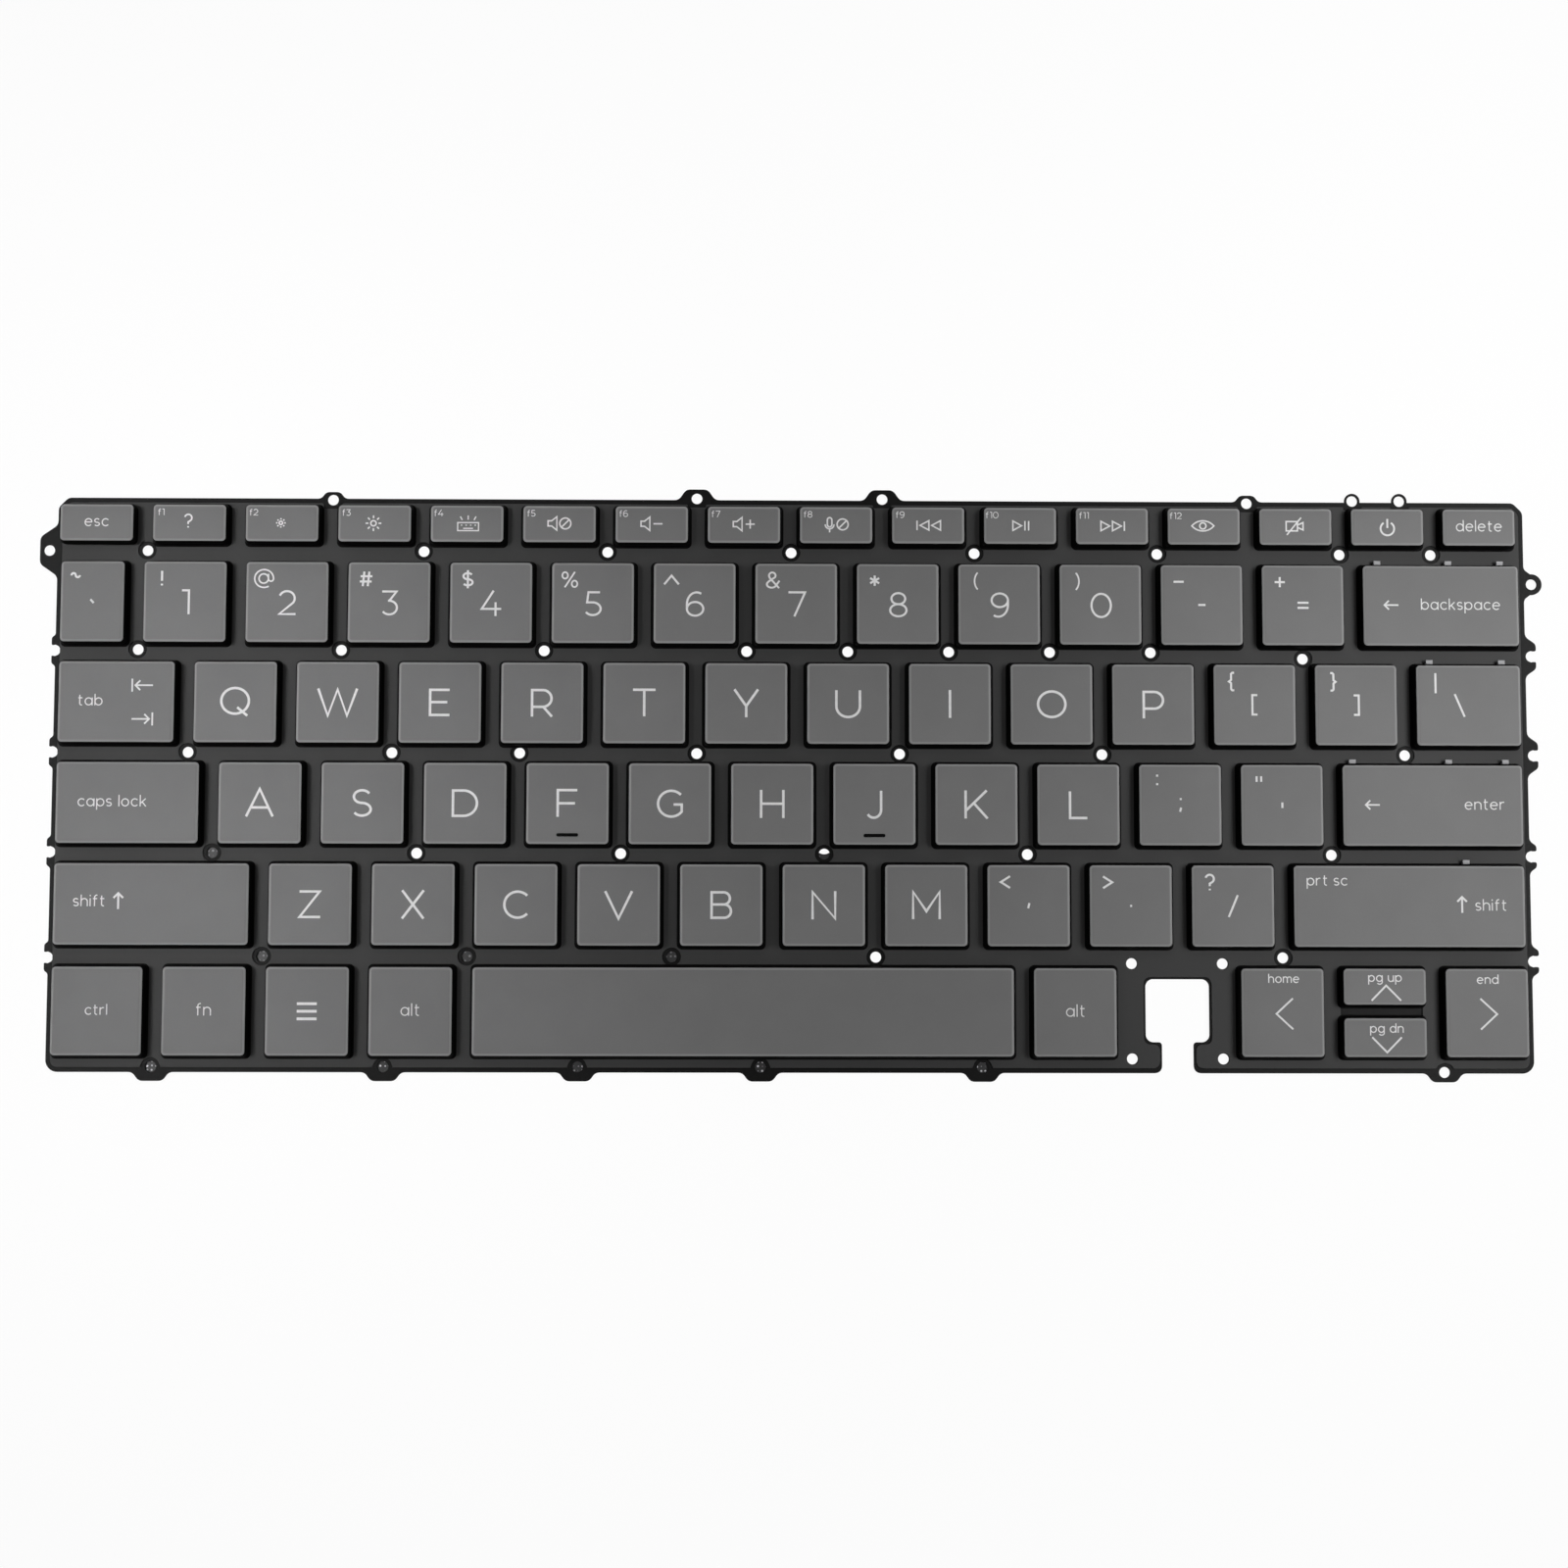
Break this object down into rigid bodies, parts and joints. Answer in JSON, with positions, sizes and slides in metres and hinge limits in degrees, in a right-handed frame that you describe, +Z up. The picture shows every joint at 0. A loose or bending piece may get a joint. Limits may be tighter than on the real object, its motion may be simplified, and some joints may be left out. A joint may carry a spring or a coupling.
{
  "type": "laptop replacement keyboard",
  "caption": "Thin keyboard module for a laptop: low square caps on sprung scissor supports over a membrane, on a stamped metal plate with fixing holes, edge tabs and an aperture for a sensor.",
  "frame": {"origin": "middle of the outline at the back face of the light guide", "axes": "+X to the right along the key rows, +Y to the function row, +Z up through the caps"},
  "size_m": [0.2784, 0.1094, 0.0043],
  "materials": {
    "cap": "satin grey paint on black caps",
    "plate": "black coated sheet",
    "membrane": "dark grey film",
    "light_guide": "sheet with a black backing",
    "dome_rubber": "milky silicone",
    "scissor_plastic": "natural moulded plastic"
  },
  "bodies": {
    "base": {"base_plate": "plate", "switch_membrane": "membrane", "light_guide": "light_guide", "rubber_domes": "dome_rubber", "scissor_arms": "scissor_plastic", "fixed_keys": "cap"},
    "key_1": {"key_1": "cap"},
    "key_2": {"key_2": "cap"},
    "key_3": {"key_3": "cap"},
    "key_4": {"key_4": "cap"},
    "key_5": {"key_5": "cap"},
    "key_6": {"key_6": "cap"},
    "key_7": {"key_7": "cap"},
    "key_8": {"key_8": "cap"},
    "key_9": {"key_9": "cap"},
    "key_0": {"key_0": "cap"},
    "key_q": {"key_q": "cap"},
    "key_w": {"key_w": "cap"},
    "key_e": {"key_e": "cap"},
    "key_r": {"key_r": "cap"},
    "key_t": {"key_t": "cap"},
    "key_y": {"key_y": "cap"},
    "key_u": {"key_u": "cap"},
    "key_i": {"key_i": "cap"},
    "key_o": {"key_o": "cap"},
    "key_p": {"key_p": "cap"},
    "key_a": {"key_a": "cap"},
    "key_s": {"key_s": "cap"},
    "key_d": {"key_d": "cap"},
    "key_f": {"key_f": "cap"},
    "key_g": {"key_g": "cap"},
    "key_h": {"key_h": "cap"},
    "key_j": {"key_j": "cap"},
    "key_k": {"key_k": "cap"},
    "key_l": {"key_l": "cap"},
    "key_z": {"key_z": "cap"},
    "key_x": {"key_x": "cap"},
    "key_c": {"key_c": "cap"},
    "key_v": {"key_v": "cap"},
    "key_b": {"key_b": "cap"},
    "key_n": {"key_n": "cap"},
    "key_m": {"key_m": "cap"},
    "key_grave": {"key_grave": "cap"},
    "key_minus": {"key_minus": "cap"},
    "key_equals": {"key_equals": "cap"},
    "key_left_bracket": {"key_left_bracket": "cap"},
    "key_right_bracket": {"key_right_bracket": "cap"},
    "key_backslash": {"key_backslash": "cap"},
    "key_semicolon": {"key_semicolon": "cap"},
    "key_quote": {"key_quote": "cap"},
    "key_comma": {"key_comma": "cap"},
    "key_period": {"key_period": "cap"},
    "key_slash": {"key_slash": "cap"},
    "key_space": {"key_space": "cap"},
    "key_tab": {"key_tab": "cap"},
    "key_caps_lock": {"key_caps_lock": "cap"},
    "key_left_shift": {"key_left_shift": "cap"},
    "key_right_shift": {"key_right_shift": "cap"},
    "key_enter": {"key_enter": "cap"},
    "key_backspace": {"key_backspace": "cap"}
  },
  "joints": [
    {"name": "key_1_press", "type": "slide", "parent": "base", "child": "key_1", "axis": [0, 0, 1], "range_m": [-0.0013, 0], "stiffness_N_per_m": 350, "deforming": ["rubber_domes", "scissor_arms"]},
    {"name": "key_2_press", "type": "slide", "parent": "base", "child": "key_2", "axis": [0, 0, 1], "range_m": [-0.0013, 0], "stiffness_N_per_m": 350, "deforming": ["rubber_domes", "scissor_arms"]},
    {"name": "key_3_press", "type": "slide", "parent": "base", "child": "key_3", "axis": [0, 0, 1], "range_m": [-0.0013, 0], "stiffness_N_per_m": 350, "deforming": ["rubber_domes", "scissor_arms"]},
    {"name": "key_4_press", "type": "slide", "parent": "base", "child": "key_4", "axis": [0, 0, 1], "range_m": [-0.0013, 0], "stiffness_N_per_m": 350, "deforming": ["rubber_domes", "scissor_arms"]},
    {"name": "key_5_press", "type": "slide", "parent": "base", "child": "key_5", "axis": [0, 0, 1], "range_m": [-0.0013, 0], "stiffness_N_per_m": 350, "deforming": ["rubber_domes", "scissor_arms"]},
    {"name": "key_6_press", "type": "slide", "parent": "base", "child": "key_6", "axis": [0, 0, 1], "range_m": [-0.0013, 0], "stiffness_N_per_m": 350, "deforming": ["rubber_domes", "scissor_arms"]},
    {"name": "key_7_press", "type": "slide", "parent": "base", "child": "key_7", "axis": [0, 0, 1], "range_m": [-0.0013, 0], "stiffness_N_per_m": 350, "deforming": ["rubber_domes", "scissor_arms"]},
    {"name": "key_8_press", "type": "slide", "parent": "base", "child": "key_8", "axis": [0, 0, 1], "range_m": [-0.0013, 0], "stiffness_N_per_m": 350, "deforming": ["rubber_domes", "scissor_arms"]},
    {"name": "key_9_press", "type": "slide", "parent": "base", "child": "key_9", "axis": [0, 0, 1], "range_m": [-0.0013, 0], "stiffness_N_per_m": 350, "deforming": ["rubber_domes", "scissor_arms"]},
    {"name": "key_0_press", "type": "slide", "parent": "base", "child": "key_0", "axis": [0, 0, 1], "range_m": [-0.0013, 0], "stiffness_N_per_m": 350, "deforming": ["rubber_domes", "scissor_arms"]},
    {"name": "key_q_press", "type": "slide", "parent": "base", "child": "key_q", "axis": [0, 0, 1], "range_m": [-0.0013, 0], "stiffness_N_per_m": 350, "deforming": ["rubber_domes", "scissor_arms"]},
    {"name": "key_w_press", "type": "slide", "parent": "base", "child": "key_w", "axis": [0, 0, 1], "range_m": [-0.0013, 0], "stiffness_N_per_m": 350, "deforming": ["rubber_domes", "scissor_arms"]},
    {"name": "key_e_press", "type": "slide", "parent": "base", "child": "key_e", "axis": [0, 0, 1], "range_m": [-0.0013, 0], "stiffness_N_per_m": 350, "deforming": ["rubber_domes", "scissor_arms"]},
    {"name": "key_r_press", "type": "slide", "parent": "base", "child": "key_r", "axis": [0, 0, 1], "range_m": [-0.0013, 0], "stiffness_N_per_m": 350, "deforming": ["rubber_domes", "scissor_arms"]},
    {"name": "key_t_press", "type": "slide", "parent": "base", "child": "key_t", "axis": [0, 0, 1], "range_m": [-0.0013, 0], "stiffness_N_per_m": 350, "deforming": ["rubber_domes", "scissor_arms"]},
    {"name": "key_y_press", "type": "slide", "parent": "base", "child": "key_y", "axis": [0, 0, 1], "range_m": [-0.0013, 0], "stiffness_N_per_m": 350, "deforming": ["rubber_domes", "scissor_arms"]},
    {"name": "key_u_press", "type": "slide", "parent": "base", "child": "key_u", "axis": [0, 0, 1], "range_m": [-0.0013, 0], "stiffness_N_per_m": 350, "deforming": ["rubber_domes", "scissor_arms"]},
    {"name": "key_i_press", "type": "slide", "parent": "base", "child": "key_i", "axis": [0, 0, 1], "range_m": [-0.0013, 0], "stiffness_N_per_m": 350, "deforming": ["rubber_domes", "scissor_arms"]},
    {"name": "key_o_press", "type": "slide", "parent": "base", "child": "key_o", "axis": [0, 0, 1], "range_m": [-0.0013, 0], "stiffness_N_per_m": 350, "deforming": ["rubber_domes", "scissor_arms"]},
    {"name": "key_p_press", "type": "slide", "parent": "base", "child": "key_p", "axis": [0, 0, 1], "range_m": [-0.0013, 0], "stiffness_N_per_m": 350, "deforming": ["rubber_domes", "scissor_arms"]},
    {"name": "key_a_press", "type": "slide", "parent": "base", "child": "key_a", "axis": [0, 0, 1], "range_m": [-0.0013, 0], "stiffness_N_per_m": 350, "deforming": ["rubber_domes", "scissor_arms"]},
    {"name": "key_s_press", "type": "slide", "parent": "base", "child": "key_s", "axis": [0, 0, 1], "range_m": [-0.0013, 0], "stiffness_N_per_m": 350, "deforming": ["rubber_domes", "scissor_arms"]},
    {"name": "key_d_press", "type": "slide", "parent": "base", "child": "key_d", "axis": [0, 0, 1], "range_m": [-0.0013, 0], "stiffness_N_per_m": 350, "deforming": ["rubber_domes", "scissor_arms"]},
    {"name": "key_f_press", "type": "slide", "parent": "base", "child": "key_f", "axis": [0, 0, 1], "range_m": [-0.0013, 0], "stiffness_N_per_m": 350, "deforming": ["rubber_domes", "scissor_arms"]},
    {"name": "key_g_press", "type": "slide", "parent": "base", "child": "key_g", "axis": [0, 0, 1], "range_m": [-0.0013, 0], "stiffness_N_per_m": 350, "deforming": ["rubber_domes", "scissor_arms"]},
    {"name": "key_h_press", "type": "slide", "parent": "base", "child": "key_h", "axis": [0, 0, 1], "range_m": [-0.0013, 0], "stiffness_N_per_m": 350, "deforming": ["rubber_domes", "scissor_arms"]},
    {"name": "key_j_press", "type": "slide", "parent": "base", "child": "key_j", "axis": [0, 0, 1], "range_m": [-0.0013, 0], "stiffness_N_per_m": 350, "deforming": ["rubber_domes", "scissor_arms"]},
    {"name": "key_k_press", "type": "slide", "parent": "base", "child": "key_k", "axis": [0, 0, 1], "range_m": [-0.0013, 0], "stiffness_N_per_m": 350, "deforming": ["rubber_domes", "scissor_arms"]},
    {"name": "key_l_press", "type": "slide", "parent": "base", "child": "key_l", "axis": [0, 0, 1], "range_m": [-0.0013, 0], "stiffness_N_per_m": 350, "deforming": ["rubber_domes", "scissor_arms"]},
    {"name": "key_z_press", "type": "slide", "parent": "base", "child": "key_z", "axis": [0, 0, 1], "range_m": [-0.0013, 0], "stiffness_N_per_m": 350, "deforming": ["rubber_domes", "scissor_arms"]},
    {"name": "key_x_press", "type": "slide", "parent": "base", "child": "key_x", "axis": [0, 0, 1], "range_m": [-0.0013, 0], "stiffness_N_per_m": 350, "deforming": ["rubber_domes", "scissor_arms"]},
    {"name": "key_c_press", "type": "slide", "parent": "base", "child": "key_c", "axis": [0, 0, 1], "range_m": [-0.0013, 0], "stiffness_N_per_m": 350, "deforming": ["rubber_domes", "scissor_arms"]},
    {"name": "key_v_press", "type": "slide", "parent": "base", "child": "key_v", "axis": [0, 0, 1], "range_m": [-0.0013, 0], "stiffness_N_per_m": 350, "deforming": ["rubber_domes", "scissor_arms"]},
    {"name": "key_b_press", "type": "slide", "parent": "base", "child": "key_b", "axis": [0, 0, 1], "range_m": [-0.0013, 0], "stiffness_N_per_m": 350, "deforming": ["rubber_domes", "scissor_arms"]},
    {"name": "key_n_press", "type": "slide", "parent": "base", "child": "key_n", "axis": [0, 0, 1], "range_m": [-0.0013, 0], "stiffness_N_per_m": 350, "deforming": ["rubber_domes", "scissor_arms"]},
    {"name": "key_m_press", "type": "slide", "parent": "base", "child": "key_m", "axis": [0, 0, 1], "range_m": [-0.0013, 0], "stiffness_N_per_m": 350, "deforming": ["rubber_domes", "scissor_arms"]},
    {"name": "key_grave_press", "type": "slide", "parent": "base", "child": "key_grave", "axis": [0, 0, 1], "range_m": [-0.0013, 0], "stiffness_N_per_m": 350, "deforming": ["rubber_domes", "scissor_arms"]},
    {"name": "key_minus_press", "type": "slide", "parent": "base", "child": "key_minus", "axis": [0, 0, 1], "range_m": [-0.0013, 0], "stiffness_N_per_m": 350, "deforming": ["rubber_domes", "scissor_arms"]},
    {"name": "key_equals_press", "type": "slide", "parent": "base", "child": "key_equals", "axis": [0, 0, 1], "range_m": [-0.0013, 0], "stiffness_N_per_m": 350, "deforming": ["rubber_domes", "scissor_arms"]},
    {"name": "key_left_bracket_press", "type": "slide", "parent": "base", "child": "key_left_bracket", "axis": [0, 0, 1], "range_m": [-0.0013, 0], "stiffness_N_per_m": 350, "deforming": ["rubber_domes", "scissor_arms"]},
    {"name": "key_right_bracket_press", "type": "slide", "parent": "base", "child": "key_right_bracket", "axis": [0, 0, 1], "range_m": [-0.0013, 0], "stiffness_N_per_m": 350, "deforming": ["rubber_domes", "scissor_arms"]},
    {"name": "key_backslash_press", "type": "slide", "parent": "base", "child": "key_backslash", "axis": [0, 0, 1], "range_m": [-0.0013, 0], "stiffness_N_per_m": 350, "deforming": ["rubber_domes", "scissor_arms"]},
    {"name": "key_semicolon_press", "type": "slide", "parent": "base", "child": "key_semicolon", "axis": [0, 0, 1], "range_m": [-0.0013, 0], "stiffness_N_per_m": 350, "deforming": ["rubber_domes", "scissor_arms"]},
    {"name": "key_quote_press", "type": "slide", "parent": "base", "child": "key_quote", "axis": [0, 0, 1], "range_m": [-0.0013, 0], "stiffness_N_per_m": 350, "deforming": ["rubber_domes", "scissor_arms"]},
    {"name": "key_comma_press", "type": "slide", "parent": "base", "child": "key_comma", "axis": [0, 0, 1], "range_m": [-0.0013, 0], "stiffness_N_per_m": 350, "deforming": ["rubber_domes", "scissor_arms"]},
    {"name": "key_period_press", "type": "slide", "parent": "base", "child": "key_period", "axis": [0, 0, 1], "range_m": [-0.0013, 0], "stiffness_N_per_m": 350, "deforming": ["rubber_domes", "scissor_arms"]},
    {"name": "key_slash_press", "type": "slide", "parent": "base", "child": "key_slash", "axis": [0, 0, 1], "range_m": [-0.0013, 0], "stiffness_N_per_m": 350, "deforming": ["rubber_domes", "scissor_arms"]},
    {"name": "key_space_press", "type": "slide", "parent": "base", "child": "key_space", "axis": [0, 0, 1], "range_m": [-0.0013, 0], "stiffness_N_per_m": 350, "deforming": ["rubber_domes", "scissor_arms"]},
    {"name": "key_tab_press", "type": "slide", "parent": "base", "child": "key_tab", "axis": [0, 0, 1], "range_m": [-0.0013, 0], "stiffness_N_per_m": 350, "deforming": ["rubber_domes", "scissor_arms"]},
    {"name": "key_caps_lock_press", "type": "slide", "parent": "base", "child": "key_caps_lock", "axis": [0, 0, 1], "range_m": [-0.0013, 0], "stiffness_N_per_m": 350, "deforming": ["rubber_domes", "scissor_arms"]},
    {"name": "key_left_shift_press", "type": "slide", "parent": "base", "child": "key_left_shift", "axis": [0, 0, 1], "range_m": [-0.0013, 0], "stiffness_N_per_m": 350, "deforming": ["rubber_domes", "scissor_arms"]},
    {"name": "key_right_shift_press", "type": "slide", "parent": "base", "child": "key_right_shift", "axis": [0, 0, 1], "range_m": [-0.0013, 0], "stiffness_N_per_m": 350, "deforming": ["rubber_domes", "scissor_arms"]},
    {"name": "key_enter_press", "type": "slide", "parent": "base", "child": "key_enter", "axis": [0, 0, 1], "range_m": [-0.0013, 0], "stiffness_N_per_m": 350, "deforming": ["rubber_domes", "scissor_arms"]},
    {"name": "key_backspace_press", "type": "slide", "parent": "base", "child": "key_backspace", "axis": [0, 0, 1], "range_m": [-0.0013, 0], "stiffness_N_per_m": 350, "deforming": ["rubber_domes", "scissor_arms"]}
  ]
}
